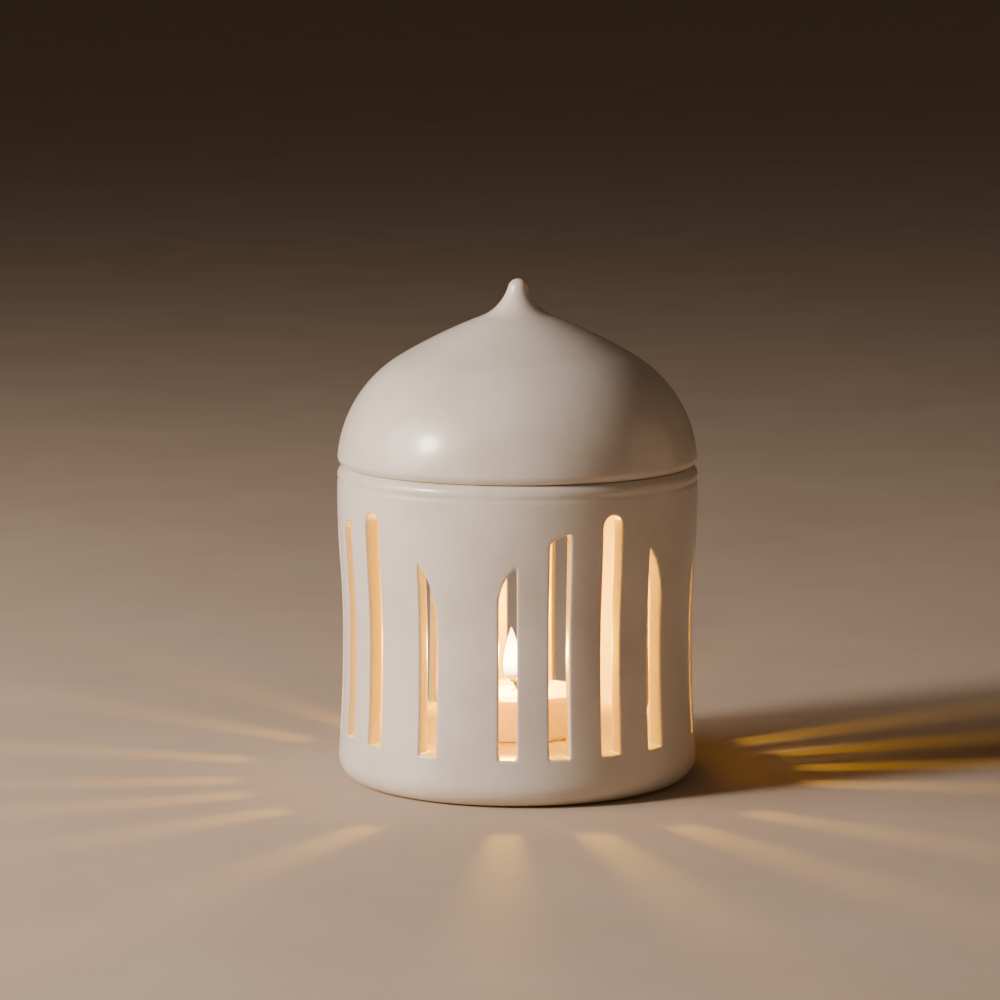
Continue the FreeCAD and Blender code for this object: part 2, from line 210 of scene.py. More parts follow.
def arc(centre, radius, start, end, steps):
    """Points along an arc, both ends included."""
    return [polar(centre, radius, start + (end - start) * i / steps) for i in range(steps + 1)]


def line(start, end, steps):
    """Points along a line, without its ends."""
    return [
        tuple(a + (b - a) * i / (steps + 1) for a, b in zip(start, end)) for i in range(1, steps + 1)
    ]


def at(azimuth, radius, z):
    """A point from its azimuth in degrees, with 0 at the front."""
    turn = math.radians(azimuth)
    return (radius * math.sin(turn), -radius * math.cos(turn), z)


def smooth(t):
    """Eases from 0 to 1 as t does, and stays there beyond both ends."""
    t = min(1.0, max(0.0, t))
    return t * t * (3 - 2 * t)


def revolve(name, profile, steps, shape):
    """Turns a profile that starts and ends on the axis; shape places each of its points."""
    points, faces = [shape(0, *profile[0])], []
    for radius, z in profile[1:-1]:
        points += [shape(360 * i / steps, radius, z) for i in range(steps)]
    points.append(shape(0, *profile[-1]))
    rings = len(profile) - 2
    for i in range(steps):
        j = (i + 1) % steps
        faces.append((0, 1 + i, 1 + j))
        for ring in range(rings - 1):
            low, high = 1 + ring * steps, 1 + (ring + 1) * steps
            faces.append((low + i, high + i, high + j, low + j))
        last = 1 + (rings - 1) * steps
        faces.append((last + i, len(points) - 1, last + j))
    return new_mesh(name, points, faces)


# ---------------------------------------------------------------- vessel


def outer_radius(z):
    """The vessel's outside above its rounded base: a hollow lower wall, then an S to the shoulder."""
    if z < WAIST_Z:
        fall = (WAIST_Z - z) / (WAIST_Z - WALL_FOOT_Z)
        return WAIST_R + (FOOT_R + BASE_ROUND - WAIST_R) * fall**2
    t = min(1.0, (z - WAIST_Z) / (SHOULDER_Z - WAIST_Z))
    rise = 2 * t * t if t < 0.5 else 1 - 2 * (1 - t) ** 2
    groove = GROOVE_DEPTH * math.exp(-(((z - GROOVE_Z) / GROOVE_SPREAD) ** 2))
    return WAIST_R + (SHOULDER_R - WAIST_R) * rise - groove


def inner_radius(z):
    """The vessel's inside, which rounds into the floor."""
    radius = outer_radius(min(z, SHOULDER_Z)) - WALL
    turn_z = FLOOR_Z + FLOOR_ROUND
    if z < turn_z:
        drop = min(turn_z - z, FLOOR_ROUND)
        radius = outer_radius(turn_z) - WALL - FLOOR_ROUND + math.sqrt(FLOOR_ROUND**2 - drop**2)
    return radius


def top_height(slot, offset):
    """The height of a slot's top at a sideways offset: a circle through its three given points."""
    _, width, shape, lift = SLOTS[slot]
    left, middle, right = TOPS[shape]
    half = width / 2
    points = [(-half, left), (0.0, middle), (half, right)]
    a = np.array([[2 * x, 2 * z, 1.0] for x, z in points])
    cx, cz, rest = np.linalg.solve(a, [x * x + z * z for x, z in points])
    radius_squared = rest + cx * cx + cz * cz
    return cz + math.sqrt(max(0.0, radius_squared - (offset - cx) ** 2)) + lift


def columns():
    """Each column of the vessel's grid: a function from a radius to an azimuth, the height of its
    opening's top, how steep that top is, and its slot, or None in the wall between two slots.

    Known fault: a slot keeps its full width at every radius, so within 22 mm of the axis the columns of
    neighbouring slots cross, and the floor and its underside fold over themselves there."""
    made = []

    def edge(slot, side):
        azimuth, width = SLOTS[slot][0], SLOTS[slot][1]
        return lambda r: azimuth + math.degrees(math.asin(side * width / 2 / r))

    for slot, (azimuth, width, _, _) in enumerate(SLOTS):
        half = width / 2
        for i in range(OPENING_COLUMNS + 1):
            offset = -half + width * i / OPENING_COLUMNS
            top = top_height(slot, offset)
            near = top_height(slot, offset + (SLOPE_STEP if offset < 0 else -SLOPE_STEP))
            steep = math.hypot(1, (near - top) / SLOPE_STEP)
            turn = lambda r, a=azimuth, u=offset: a + math.degrees(math.asin(u / r))
            made.append((turn, top, min(steep, STEEPEST), slot if i < OPENING_COLUMNS else None))
        after = (slot + 1) % len(SLOTS)
        lap = 360.0 if after == 0 else 0.0
        right, left = edge(slot, 1), edge(after, -1)
        gap = math.radians(left(WALL_R) + lap - right(WALL_R)) * WALL_R
        inside = max(1, round((gap - 2 * EDGE_SUPPORT) / GAP_COLUMN))
        shares = [EDGE_SUPPORT / gap]
        shares += [shares[0] + (1 - 2 * shares[0]) * (i + 1) / (inside + 1) for i in range(inside)]
        shares.append(1 - shares[0])
        here, there = top_height(slot, half), top_height(after, -SLOTS[after][1] / 2)
        for share in shares:
            turn = lambda r, s=share, a=right, b=left, k=lap: a(r) * (1 - s) + (b(r) + k) * s
            blend = smooth((share - shares[0]) / (shares[-1] - shares[0]))
            made.append((turn, here + (there - here) * blend, 1.0, None))
    return made


def vessel_rows(top, steep):
    """One column's profile from the underside's centre round to the floor's centre."""
    support = EDGE_SUPPORT * steep
    base = (FOOT_R, BASE_ROUND)
    under = [(6, RECESS_Z), (18, RECESS_Z), (30, RECESS_Z), (RECESS_R - 2.2, RECESS_Z)]
    under += arc((RECESS_R - RECESS_ROUND, RECESS_Z - RECESS_ROUND), RECESS_ROUND, 67, 0, 2)
    under += [(RECESS_R, 2.4), (RECESS_R, 0.9), (RECESS_R + 0.25, 0.25), (RECESS_R + 0.9, 0)]
    under += [(RECESS_R + 2.6, 0), (FOOT_R - 0.6, 0)]
    under += arc(base, BASE_ROUND, -82, 4, 7)
    under += [(outer_radius(z), z) for z in (8.6, 10.8, SILL_Z - EDGE_SUPPORT)]

    low, high = SILL_Z + EDGE_SUPPORT, top - EDGE_SUPPORT * min(steep, 1.5)
    heights = [SILL_Z, low]
    heights += [low + (high - low) * i / OPENING_ROWS for i in range(1, OPENING_ROWS)]
    heights += [high, top]
    ceiling = SHOULDER_Z + 1.4
    first = min(top + support, ceiling - 0.5)
    above = [first + (ceiling - first) * i / ROWS_ABOVE for i in range(ROWS_ABOVE + 1)]

    outside = [(outer_radius(z), z) for z in heights]
    over = [(outer_radius(z), z) for z in above + [83.2, 83.9, 84.6, 85.3, 85.9]]
    over += arc((SHOULDER_R - RIM_ROUND, SEAM_Z - RIM_ROUND), RIM_ROUND, 8, 90, 6)
    mouth = SHOULDER_R - WALL
    over += [(mouth + 1.6, SEAM_Z), (mouth + 0.7, SEAM_Z), (mouth + 0.1, SEAM_Z - 0.5)]
    over += [(mouth, SEAM_Z - 1.3), (mouth, 85.4), (mouth, 83.6)]
    over += [(inner_radius(z), z) for z in reversed(above)]
    inside = [(inner_radius(z), z) for z in reversed(heights)]
    floor = [(inner_radius(FLOOR_Z + 0.08), FLOOR_Z), (39.0, FLOOR_Z), (30.0, FLOOR_Z), (18.0, FLOOR_Z)]
    floor += [(6.0, FLOOR_Z)]
    return under, outside, over, inside, floor


def make_vessel():
    """The vessel: a grid of columns and rows, left open at the slots, with jambs through the wall."""
    grid = []
    made = columns()
    for turn, top, steep, _ in made:
        parts = vessel_rows(top, steep)
        grid.append([at(turn(r), r, z) for part in parts for r, z in part])
    starts = np.cumsum([0] + [len(part) for part in parts])
    rows, count = len(grid[0]), len(grid)
    points = [p for column in grid for p in column]
    outer_sill, outer_top = int(starts[1]), int(starts[2]) - 1
    inner_top, inner_sill = int(starts[3]), int(starts[4]) - 1

    def index(column, row):
        return (column % count) * rows + row

    faces = []
    for c in range(count):
        opening = made[c][3] is not None
        for r in range(rows - 1):
            if opening and (outer_sill <= r < outer_top or inner_top <= r < inner_sill):
                continue
            faces.append((index(c, r), index(c + 1, r), index(c + 1, r + 1), index(c, r + 1)))

    depths = (EDGE_SUPPORT / WALL, 0.5, 1 - EDGE_SUPPORT / WALL)
    for slot in range(len(SLOTS)):
        first = next(c for c in range(count) if made[c][3] == slot)
        last = first + OPENING_COLUMNS
        ring = [(first, r) for r in range(outer_sill, outer_top)]
        ring += [(c, outer_top) for c in range(first, last)]
        ring += [(last, r) for r in range(outer_top, outer_sill, -1)]
        ring += [(c, outer_sill) for c in range(last, first, -1)]
        layers = []
        for c, r in ring:
            outside, inside = index(c, r), index(c, inner_sill - (r - outer_sill))
            layer = [outside]
            ends = points[outside], points[inside]
            for depth in depths:
                layer.append(len(points))
                points.append(tuple(a + (b - a) * depth for a, b in zip(*ends)))
            layers.append(layer + [inside])
        for here, there in zip(layers, layers[1:] + layers[:1]):
            for k in range(len(depths) + 1):
                faces.append((here[k], there[k], there[k + 1], here[k + 1]))
    piece = new_mesh("vessel_ceramic", points, faces)
    subdivide(piece)
    settle_walls(piece)
    close_middles(piece)
    return piece


def close_middles(piece):
    """Closes the two round gaps on the axis, under the floor and on it, each with flat triangles."""
    build = bmesh.new()
    build.from_mesh(piece.data)
    edges = [edge for edge in build.edges if edge.is_boundary]
    for z in (RECESS_Z * MM, FLOOR_Z * MM):
        middle = build.verts.new((0, 0, z))
        for edge in edges:
            if abs(edge.verts[0].co.z - z) < MM:
                build.faces.new((*edge.verts, middle)).smooth = True
    bmesh.ops.recalc_face_normals(build, faces=build.faces)
    build.to_mesh(piece.data)
    build.free()


def subdivide(piece):
    """Applies one Catmull-Clark subdivision, which rounds the cut edges."""
    modifier = piece.modifiers.new("subdivision", "SUBSURF")
    modifier.levels = 1
    modifier.render_levels = 1
    bpy.context.view_layer.update()
    graph = bpy.context.evaluated_depsgraph_get()
    shaped = bpy.data.meshes.new_from_object(piece.evaluated_get(graph))
    piece.modifiers.clear()
    piece.data = shaped


def settle_walls(piece):
    """Brings the wall's faces back to their true radius, then adds a hand-made pot's slight waver:
    an oval one and a three-lobed one, as deep as WALL_WAVERS says."""
    count = len(piece.data.vertices)
    co = np.empty(count * 3)
    piece.data.vertices.foreach_get("co", co)
    co = co.reshape(-1, 3) / MM
    radius = np.hypot(co[:, 0], co[:, 1])
    azimuth = np.arctan2(co[:, 0], -co[:, 1])
    for i in range(count):
        z, r = co[i, 2], radius[i]
        if not SETTLE_Z < z < SEAM_Z - RIM_ROUND:
            continue
        for target in (outer_radius(z), inner_radius(z)):
            pull = 1 - smooth((abs(r - target) - 0.03) / 0.12)
            r += (target - r) * pull
        co[i, :2] *= r / radius[i]
    oval, lobes = WALL_WAVERS
    waver = oval * np.sin(2 * azimuth + 0.7) + lobes * np.sin(3 * azimuth - 1.1 + co[:, 2] / 30)
    waver = 1 + waver / WALL_R
    co[:, 0] *= waver
    co[:, 1] *= waver
    piece.data.vertices.foreach_set("co", (co * MM).ravel())
    piece.data.update()


# ---------------------------------------------------------------- lid


def flare_centre():
    """The centre of the arc that leads from the finial's rounded tip out to the crown."""
    return polar((0, LID_HIGH.z - TIP_R), TIP_R + FLARE_R, FLARE_LEAN)


def crown_centre():
    """The centre of the crown's arc, which touches the lid's lower arc and the finial's flare."""
    low = (LID_ARC_OFFSET, LID_ARC_Z)
    high = flare_centre()
    to_low, to_high = CROWN_ARC_R - LID_ARC_R, CROWN_ARC_R + FLARE_R
    across, up = high[0] - low[0], high[1] - low[1]
    apart = math.hypot(across, up)
    along = (to_low**2 - to_high**2 + apart**2) / (2 * apart)
    aside = math.sqrt(to_low**2 - along**2)
    x = low[0] + (along * across - aside * up) / apart
    z = low[1] + (along * up + aside * across) / apart
    return x, z


def direction(here, there):
    """The angle in degrees at which one point sees another."""
    return math.degrees(math.atan2(there[1] - here[1], there[0] - here[0]))


def lid_shape(azimuth, radius, z):
    """Leans the drawn-out finial's tip a little, as a hand leaves it, and lets the dome waver."""
    x, y, z = at(azimuth, radius, z)
    lean = FINIAL_LEAN * smooth((z - FINIAL_Z) / 6.0)
    below = smooth((FINIAL_Z - 1.0 - z) / 8.0)
    waver = 1 + DOME_WAVER * math.sin(2 * math.radians(azimuth) + 0.4) * below
    return (x * waver + lean, y * waver, z)


def make_lid():
    """The lid: the finial, crown, rounded edge, spigot and hollow, turned from one profile."""
    apex, seam = LID_HIGH.z, SEAM_Z
    low_centre, top_centre = (LID_ARC_OFFSET, LID_ARC_Z), crown_centre()
    steep, flat = direction(top_centre, low_centre), direction(top_centre, flare_centre())
    edge_z = seam + LID_EDGE_ROUND
    edge_lean = math.degrees(math.asin((edge_z - LID_ARC_Z) / (LID_ARC_R - LID_EDGE_ROUND)))
    edge_r = LID_ARC_OFFSET + (LID_ARC_R - LID_EDGE_ROUND) * math.cos(math.radians(edge_lean))
    inner = LID_ARC_R - LID_WALL
    ceiling_z = LID_ARC_Z - math.sqrt((CEILING_R - inner) ** 2 - LID_ARC_OFFSET**2)
    turn = direction((0, ceiling_z), low_centre)
    bore = SPIGOT_R - SPIGOT_WALL
    foot, rounding = LID_LOW.z, SPIGOT_ROUND

    profile = [(0.0, apex)]
    profile += arc((0, apex - TIP_R), TIP_R, 82, FLARE_LEAN + 8, 8)
    profile += arc(flare_centre(), FLARE_R, 180 + FLARE_LEAN, 180 + flat, 18)
    profile += arc(top_centre, CROWN_ARC_R, flat, steep, 24)[1:]
    profile += arc(low_centre, LID_ARC_R, steep, edge_lean, 26)[1:]
    profile += arc((edge_r, edge_z), LID_EDGE_ROUND, edge_lean, -90, 9)[1:]
    profile += [(edge_r - 1.2, seam), (SPIGOT_R + 0.5, seam)]
    profile += [(SPIGOT_R, seam - 0.4), (SPIGOT_R, seam - 1.4)]
    profile += arc((SPIGOT_R - rounding, foot + rounding), rounding, 0, -90, 4)
    profile += arc((bore + rounding, foot + rounding), rounding, -90, -180, 4)
    profile += [(bore, seam - 1.2), (bore, seam)]
    bevel = math.degrees(math.asin((seam + BEVEL_RISE - LID_ARC_Z) / inner))
    profile += line((bore, seam), polar(low_centre, inner, bevel), 2)
    profile += arc(low_centre, inner, bevel, turn, 16)
    profile += arc((0, ceiling_z), CEILING_R, turn, 87, 18)[1:]
    profile.append((0.0, ceiling_z + CEILING_R))
    return revolve("lid_ceramic", profile, 240, lid_shape)


# ---------------------------------------------------------------- candle


def wax_shape(azimuth, radius, z):
    """The wax's rim slumps unevenly round the pool, and its side wavers slightly."""
    turn = math.radians(azimuth)
    near_top = smooth((z - WAX_HIGH.z + 2.5) / 2.5)
    near_rim = smooth((radius - 10.0) / 6.0)
    slump = 0.16 * math.sin(3 * turn + 0.5) + 0.10 * math.sin(5 * turn - 1.3) - 0.16
    side = 1 - 0.0015 * (1 + math.sin(4 * turn + 2.0))
    x, y, z = at(azimuth, radius * side, z)
    return (x, y, z + slump * near_top * near_rim)


def make_wax():
    """The wax: a low disc with a rounded foot and rim and a shallow melt pool."""
    low, high = WAX_LOW.z, WAX_HIGH.z
    pool = high - POOL_DEPTH
    foot, rim = WAX_FOOT_ROUND, WAX_RIM_ROUND
    profile = [(0.0, low), (7.0, low), (14.0, low)]
    profile += arc((WAX_R - foot, low + foot), foot, -90, 0, 5)
    profile += line((WAX_R, low + foot), (WAX_R, high - rim), 7)
    profile += arc((WAX_R - rim, high - rim), rim, 0, 90, 7)
    profile += [(17.3, high - 0.02), (16.8, high - 0.13), (16.2, high - 0.40), (POOL_R, pool + 0.04)]
    profile += [(13.5, pool), (10.5, pool), (7.5, pool), (5.0, pool), (3.0, pool + 0.03)]
    profile += [(2.0, pool + 0.15), (1.4, pool + 0.4), (1.05, pool + 0.75)]
    profile += [(0.5, pool + 0.8), (0.0, pool + 0.8)]
    return revolve("candle_disc", profile, 144, wax_shape)


def make_wick():
    """A braid that rises out of the wax and curls over, thinner towards its burned tip."""
    start, bend_z = WICK_LOW.z, WAX_HIGH.z + 0.4
    path = [(0.0, start + (bend_z - start) * i / 24) for i in range(24)]
    path += arc((-WICK_BEND, bend_z), WICK_BEND, 0, WICK_LEAN, 14)
    points, faces, around = [], [], 24
    travelled = 0.0
    for i, (x, z) in enumerate(path):
        ahead, behind = path[min(i + 1, len(path) - 1)], path[max(i - 1, 0)]
        tangent = Vector((ahead[0] - behind[0], 0, ahead[1] - behind[1])).normalized()
        side = Vector((tangent.z, 0, -tangent.x))
        travelled += math.dist((x, z), behind)
        burned = smooth((z - bend_z) / 1.5)
        taper = 1 - 0.25 * smooth((i - len(path) + 4) / 4)
        for k in range(around):
            turn = 2 * math.pi * k / around
            strand = 0.11 * math.cos(3 * turn + travelled * 2.6)
            strand += 0.08 * math.cos(3 * turn - travelled * 2.6)
            r = WICK_R * (0.84 + strand) * taper * (1 - 0.12 * burned)
            across = side * r * math.cos(turn) + Vector((0, 1, 0)) * r * math.sin(turn)
            points.append(tuple(Vector((x, 0, z)) + across))
    for i in range(len(path) - 1):
        for k in range(around):
            j = (k + 1) % around
            low, high = i * around, (i + 1) * around
            faces.append((low + k, high + k, high + j, low + j))
    tip = len(points)
    points += [(path[-1][0] - 0.2, 0, path[-1][1] + 0.1), (0.0, 0.0, start)]
    last = (len(path) - 1) * around
    for k in range(around):
        j = (k + 1) % around
        faces.append((last + k, tip, last + j))
        faces.append((k, j, tip + 1))
    return new_mesh("candle_wick", points, faces)


def make_flame():
    """A still teardrop of flame over the wick's bent tip."""
    profile = []
    for i in range(41):
        t = i / 40
        width = FLAME_R * (math.sin(math.pi * t**0.72) ** 0.8) * (1 - 0.2 * t)
        profile.append((max(width, 0.0), FLAME_Z + FLAME_HEIGHT * t))
    profile[0], profile[-1] = (0.0, FLAME_Z), (0.0, FLAME_Z + FLAME_HEIGHT)

    def shape(azimuth, radius, z):
        x, y, z = at(azimuth, radius, z)
        lean = FLAME_LEAN * math.sin(math.pi * (z - FLAME_Z) / FLAME_HEIGHT)
        return (x + FLAME_X + lean, y, z)

    return revolve("candle_flame", profile, 48, shape)


# ---------------------------------------------------------------- materials


class Nodes:
    """A material's node tree, with short calls to add and link nodes."""

    def __init__(self, name):
        self.material = bpy.data.materials.new(name)
        self.material.use_nodes = True
        self.tree = self.material.node_tree
        self.shader = self.tree.nodes["Principled BSDF"]

    def add(self, kind, **settings):
        node = self.tree.nodes.new("ShaderNode" + kind)
        for key, value in settings.items():
            setattr(node, key, value)
        return node

    def link(self, source, target):
        self.tree.links.new(source, target)

    def place(self):
        return self.add("TexCoord").outputs["Object"]

    def noise(self, scale, detail=4.0, roughness=0.5, vector=None):
        node = self.add("TexNoise")
        node.inputs["Scale"].default_value = scale
        node.inputs["Detail"].default_value = detail
        node.inputs["Roughness"].default_value = roughness
        self.link(vector or self.place(), node.inputs["Vector"])
        return node.outputs["Fac"]

    def ramp(self, source, stops):
        node = self.add("ValToRGB")
        elements = node.color_ramp.elements
        while len(elements) < len(stops):
            elements.new(0.5)
        for element, (position, colour) in zip(elements, stops):
            element.position = position
            element.color = (*colour, 1.0)
        self.link(source, node.inputs["Fac"])
        return node.outputs["Color"]

    def remap(self, source, low, high, to_low, to_high):
        node = self.add("MapRange", clamp=True)
        limits = {"From Min": low, "From Max": high, "To Min": to_low, "To Max": to_high}
        for key, value in limits.items():
            node.inputs[key].default_value = value
        self.link(source, node.inputs["Value"])
        return node.outputs["Result"]

    def mix(self, factor, first, second):
        node = self.add("Mix", data_type="RGBA")
        for socket, value in (("Factor", factor), ("A", first), ("B", second)):
            target = next(s for s in node.inputs if s.name == socket and s.enabled)
            if isinstance(value, tuple):
                target.default_value = (*value, 1.0)
            elif isinstance(value, float):
                target.default_value = value
            else:
                self.link(value, target)
        return next(s for s in node.outputs if s.name == "Result" and s.enabled)

    def bump(self, layers):
        """Chains bump nodes; each layer is a height, its strength and its depth in metres."""
        normal = None
        for height, strength, distance in layers:
            node = self.add("Bump")
            node.inputs["Strength"].default_value = strength
            node.inputs["Distance"].default_value = distance
            self.link(height, node.inputs["Height"])
            if normal:
                self.link(normal, node.inputs["Normal"])
            normal = node.outputs["Normal"]
        self.link(normal, self.shader.inputs["Normal"])

    def set(self, **values):
        for key, value in values.items():
            self.shader.inputs[key.replace("_", " ")].default_value = value


def height_of(nodes):
    """The height at rest above the surface that the lantern stands on."""
    split = nodes.add("SeparateXYZ")
    nodes.link(nodes.place(), split.inputs["Vector"])
    return split.outputs["Z"]


def radius_of(nodes):
    """The distance from the lantern's vertical axis."""
    flat = nodes.add("VectorMath", operation="MULTIPLY")
    flat.inputs[1].default_value = (1.0, 1.0, 0.0)
    nodes.link(nodes.place(), flat.inputs[0])
    length = nodes.add("VectorMath", operation="LENGTH")
    nodes.link(flat.outputs["Vector"], length.inputs[0])
    return length.outputs["Value"]


def ceramic(name, vessel=False):
    """Satin off-white glaze with faint mottling, specks and throwing lines, thinner on its edges. The
    vessel's inside is painted amber, a painted glow of the candle's light on the glaze, and the
    underside of its foot ring is bare clay."""
    nodes = Nodes(name)
    cloud = nodes.noise(38.0, 5.0, 0.6)
    colour = nodes.ramp(cloud, [
        (0.30, (0.66, 0.60, 0.525)), (0.52, (0.745, 0.695, 0.625)), (0.75, (0.79, 0.745, 0.68)),
    ])
    specks = nodes.noise(1500.0, 2.0, 0.6)
    speck_mask = nodes.remap(specks, 0.70, 0.78, 0.0, 0.35)
    colour = nodes.mix(speck_mask, colour, (0.42, 0.33, 0.25))
    edge = nodes.remap(nodes.add("NewGeometry").outputs["Pointiness"], 0.53, 0.62, 0.0, 0.45)
    colour = nodes.mix(edge, colour, (0.70, 0.60, 0.47))
    roughness = nodes.remap(nodes.noise(120.0, 4.0), 0.3, 0.7, 0.33, 0.43)
    if vessel:
        # Painted light: the inside is tinted amber by radius to stand in for the candle's glow on the
        # walls.
        inside = nodes.remap(radius_of(nodes), GLOW_PAINT_FULL_R * MM, GLOW_PAINT_END_R * MM, 0.85, 0.0)
        colour = nodes.mix(inside, colour, (0.80, 0.66, 0.28))
        bare = nodes.remap(height_of(nodes), 0.0002, 0.0009, 1.0, 0.0)
        grains = nodes.noise(900.0, 6.0, 0.7)
        clay = nodes.ramp(grains, [(0.35, (0.44, 0.36, 0.27)), (0.65, (0.62, 0.53, 0.42))])
        colour = nodes.mix(bare, colour, clay)
        rough_mix = nodes.add("Mix", data_type="FLOAT")
        rough_mix.inputs["B"].default_value = 0.85
        nodes.link(bare, rough_mix.inputs["Factor"])
        nodes.link(roughness, rough_mix.inputs["A"])
        roughness = rough_mix.outputs["Result"]
    nodes.link(colour, nodes.shader.inputs["Base Color"])
    nodes.link(roughness, nodes.shader.inputs["Roughness"])
    nodes.set(
        Specular_IOR_Level=0.5, Subsurface_Weight=0.12, Subsurface_Scale=0.0025,
        Subsurface_Radius=(1.0, 0.45, 0.22), Coat_Weight=0.6, Coat_Roughness=0.18,
    )
    stretched = nodes.add("Mapping")
    stretched.inputs["Scale"].default_value = (6.0, 6.0, 420.0)
    nodes.link(nodes.place(), stretched.inputs["Vector"])
    lines = nodes.noise(1.0, 3.0, 0.5, stretched.outputs["Vector"])
    nodes.bump([
        (lines, 0.10, 0.0004),
        (nodes.noise(260.0, 4.0, 0.55), 0.10, 0.0005),
        (nodes.noise(2600.0, 3.0, 0.6), 0.10, 0.00006),
    ])
    return nodes.material


def wax_material():
    """Cream wax, its colour deepened to amber as a painted glow of the flame, that lets the flame's
    light through, wet and glossy in the melt pool.
    """
    nodes = Nodes("wax")
    # Cream wax tinted deeper amber; the amber is painted candlelight glow, not the wax's own colour.
    cloud = nodes.ramp(nodes.noise(90.0, 4.0), [(0.3, (0.83, 0.69, 0.28)), (0.7, (0.89, 0.76, 0.36))])
    nodes.link(cloud, nodes.shader.inputs["Base Color"])
    pool_rough = nodes.remap(
        height_of(nodes), (WAX_HIGH.z - 0.75) * MM, (WAX_HIGH.z - 0.45) * MM, 0.10, 0.48
    )
    top = nodes.remap(height_of(nodes), (WAX_HIGH.z - 1.2) * MM, (WAX_HIGH.z - 0.8) * MM, 0.0, 1.0)
    rough = nodes.add("Mix", data_type="FLOAT")
    rough.inputs["A"].default_value = 0.48
    nodes.link(top, rough.inputs["Factor"])
    nodes.link(pool_rough, rough.inputs["B"])
    nodes.link(rough.outputs["Result"], nodes.shader.inputs["Roughness"])
    nodes.set(Subsurface_Weight=0.45, Subsurface_Scale=0.003, Subsurface_Radius=(1.0, 0.75, 0.3))
    nodes.bump([(nodes.noise(300.0, 4.0), 0.12, 0.0004), (nodes.noise(1800.0, 3.0), 0.08, 0.0001)])
    return nodes.material


def wick_material():
    """Charred cotton, paler where it is still soaked in wax, with an ember at its tip."""
    nodes = Nodes("wick")
    height = height_of(nodes)
    soot = nodes.noise(1800.0, 5.0, 0.7)
    char = nodes.ramp(soot, [(0.35, (0.012, 0.010, 0.009)), (0.7, (0.055, 0.045, 0.038))])
    waxed = nodes.remap(height, (WAX_HIGH.z - 0.6) * MM, (WAX_HIGH.z + 0.6) * MM, 1.0, 0.0)
    colour = nodes.mix(waxed, char, (0.62, 0.52, 0.36))
    nodes.link(colour, nodes.shader.inputs["Base Color"])
    ember = nodes.remap(height, (WICK_HIGH.z - 0.9) * MM, (WICK_HIGH.z - 0.1) * MM, 0.0, 6.0)
    nodes.link(ember, nodes.shader.inputs["Emission Strength"])
    nodes.set(Emission_Color=(1.0, 0.22, 0.03, 1.0), Roughness=0.9)
    nodes.bump([(nodes.noise(3500.0, 4.0, 0.7), 0.6, 0.0002)])
    return nodes.material


def steel_material():
    """Thin tinned steel with a faint rolled grain."""
    nodes = Nodes("tab_steel")
    stretched = nodes.add("Mapping")
    stretched.inputs["Scale"].default_value = (3000.0, 120.0, 120.0)
    nodes.link(nodes.place(), stretched.inputs["Vector"])
    grain = nodes.noise(1.0, 4.0, 0.6, stretched.outputs["Vector"])
    colour = nodes.ramp(grain, [(0.3, (0.52, 0.51, 0.49)), (0.7, (0.68, 0.67, 0.65))])
    nodes.link(colour, nodes.shader.inputs["Base Color"])
    nodes.link(nodes.remap(grain, 0.3, 0.7, 0.28, 0.42), nodes.shader.inputs["Roughness"])
    nodes.set(Metallic=1.0)
    nodes.bump([(grain, 0.15, 0.00004)])
    return nodes.material


def flame_material():
    """Light, pale yellow at the heart, orange at the tip and clear at the foot, round the wick."""
    nodes = Nodes("flame")
    along = nodes.remap(height_of(nodes), FLAME_Z * MM, (FLAME_Z + FLAME_HEIGHT) * MM, 0.0, 1.0)
    waver = nodes.noise(220.0, 2.0)
    shifted = nodes.add("Math", operation="MULTIPLY_ADD")
    shifted.inputs[1].default_value = 0.06
    nodes.link(waver, shifted.inputs[0])
    nodes.link(along, shifted.inputs[2])
    colour = nodes.ramp(shifted.outputs["Value"], [
        (0.03, (0.55, 0.40, 0.50)), (0.14, (1.0, 0.50, 0.12)), (0.30, (1.0, 0.78, 0.38)),
        (0.74, (1.0, 0.80, 0.40)), (0.98, (1.0, 0.46, 0.09)),
    ])
    strength = nodes.ramp(along, [
        (share, (grey, grey, grey)) for share, grey in ((0.0, 0.10), (0.2, 0.55), (0.5, 1.0), (1.0, 0.5))
    ])
    nodes.link(nodes.remap(along, 0.10, 0.34, 0.05, 1.0), nodes.shader.inputs["Alpha"])
    power = nodes.add("Math", operation="MULTIPLY")
    power.inputs[1].default_value = 22.0
    nodes.link(strength, power.inputs[0])
    nodes.link(colour, nodes.shader.inputs["Emission Color"])
    nodes.link(power.outputs["Value"], nodes.shader.inputs["Emission Strength"])
    nodes.set(Base_Color=(0.0, 0.0, 0.0, 1.0), Roughness=1.0, Specular_IOR_Level=0.0)
    return nodes.material


def floor_material():
    """Plain pale plaster."""
    nodes = Nodes("floor")
    cloud = nodes.noise(14.0, 6.0, 0.6)
    colour = nodes.ramp(cloud, [(0.3, (0.50, 0.40, 0.31)), (0.7, (0.55, 0.45, 0.355))])
    nodes.link(colour, nodes.shader.inputs["Base Color"])
    nodes.set(Roughness=0.85)
    nodes.bump([(nodes.noise(500.0, 5.0, 0.6), 0.15, 0.0004)])
    return nodes.material


# ---------------------------------------------------------------- scene


def area_light(name, at_point, target, size, power, colour):
    """A round soft light that points at a target; its size is in metres and its power in watts."""
    data = bpy.data.lights.new(name, "AREA")
    data.shape = "DISK"
    data.size = size
    data.energy = power
    data.color = colour
    lamp = bpy.data.objects.new(name, data)
    bpy.context.scene.collection.objects.link(lamp)
    lamp.location = at_point
    lamp.rotation_euler = (Vector(target) - Vector(at_point)).to_track_quat("-Z", "Y").to_euler()


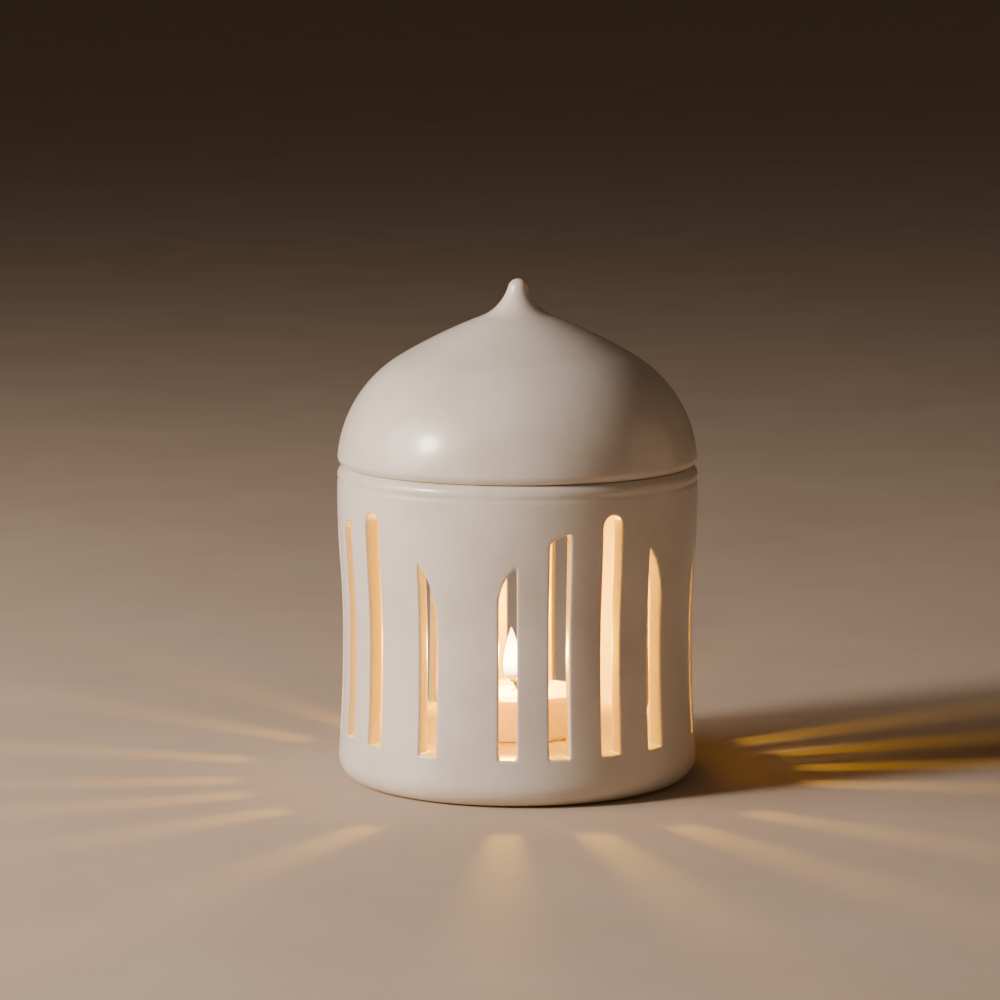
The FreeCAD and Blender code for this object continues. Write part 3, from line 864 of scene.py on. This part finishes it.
def make_candle_light():
    """The flame's light on the walls and through the slots; it moves with the candle."""
    data = bpy.data.lights.new("candle_light", "POINT")
    data.energy = 0.52
    data.color = (1.0, 0.53, 0.0)
    data.shadow_soft_size = 0.003
    lamp = bpy.data.objects.new("candle_light", data)
    bpy.context.scene.collection.objects.link(lamp)
    lamp.location = (FLAME_X * MM, 0.0, (FLAME_Z + LAMP_RISE) * MM)
    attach(lamp, "candle")


def make_stage():
    """A plain pale floor, soft studio light from the left, and little fill."""
    bpy.ops.mesh.primitive_plane_add(size=FLOOR_SIZE, location=(0, 0, -FLOOR_DROP))
    floor = bpy.context.object
    floor.name = "floor"
    floor.data.materials.append(floor_material())
    floor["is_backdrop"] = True
    middle = (0.0, 0.0, 0.07)
    area_light("key", (-1.14, -0.27, 0.50), middle, 0.8, 11.8, (1.0, 0.81, 0.68))
    area_light("window", (-0.97, -0.52, 0.57), middle, 0.25, 16.5, (1.0, 0.87, 0.78))
    area_light("fill", (0.25, -1.9, 0.65), middle, 1.1, 0.95, (1.0, 0.70, 0.48))
    area_light("low_warm", (1.2, 0.15, 0.22), middle, 0.9, 0.8, (1.0, 0.58, 0.32))
    world = bpy.data.worlds.new("studio")
    world.use_nodes = True
    world.node_tree.nodes["Background"].inputs["Color"].default_value = (0.60, 0.44, 0.31, 1.0)
    world.node_tree.nodes["Background"].inputs["Strength"].default_value = 0.09
    bpy.context.scene.world = world


def make_camera():
    """The camera, placed as the photo's was."""
    data = bpy.data.cameras.new("camera")
    data.lens = CAMERA_LENS
    data.sensor_width = 36.0
    data.clip_end = 50.0
    camera = bpy.data.objects.new("camera", data)
    bpy.context.scene.collection.objects.link(camera)
    camera.location = CAMERA_AT
    camera.rotation_euler = (math.radians(90 - CAMERA_DOWN), 0.0, math.radians(CAMERA_LEFT))
    bpy.context.scene.camera = camera


def finish_piece(piece, body, node, material):
    """Gives a piece its material, hangs it on its body's empty, and hides the CAD node that it stands
    for, if one is named.
    """
    piece.data.materials.clear()
    piece.data.materials.append(material)
    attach(piece, body)
    if node:
        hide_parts(node)


make_camera()
make_stage()
body_glaze = ceramic("ceramic_body", vessel=True)
finish_piece(make_vessel(), "holder", "holder_body", body_glaze)
finish_piece(make_lid(), "lid", "lid", ceramic("ceramic_lid"))
finish_piece(make_wax(), "candle", "candle_wax", wax_material())
finish_piece(make_wick(), "candle", "wick", wick_material())
flame = make_flame()
finish_piece(flame, "candle", None, flame_material())
flame.visible_shadow = False
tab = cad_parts["wick_sustainer"]
tab.data.materials.clear()
tab.data.materials.append(steel_material())
make_candle_light()

sizes = {"cad": cad_box, "visual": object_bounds()}
{key: [list(corner) for corner in box] for key, box in sizes.items()}
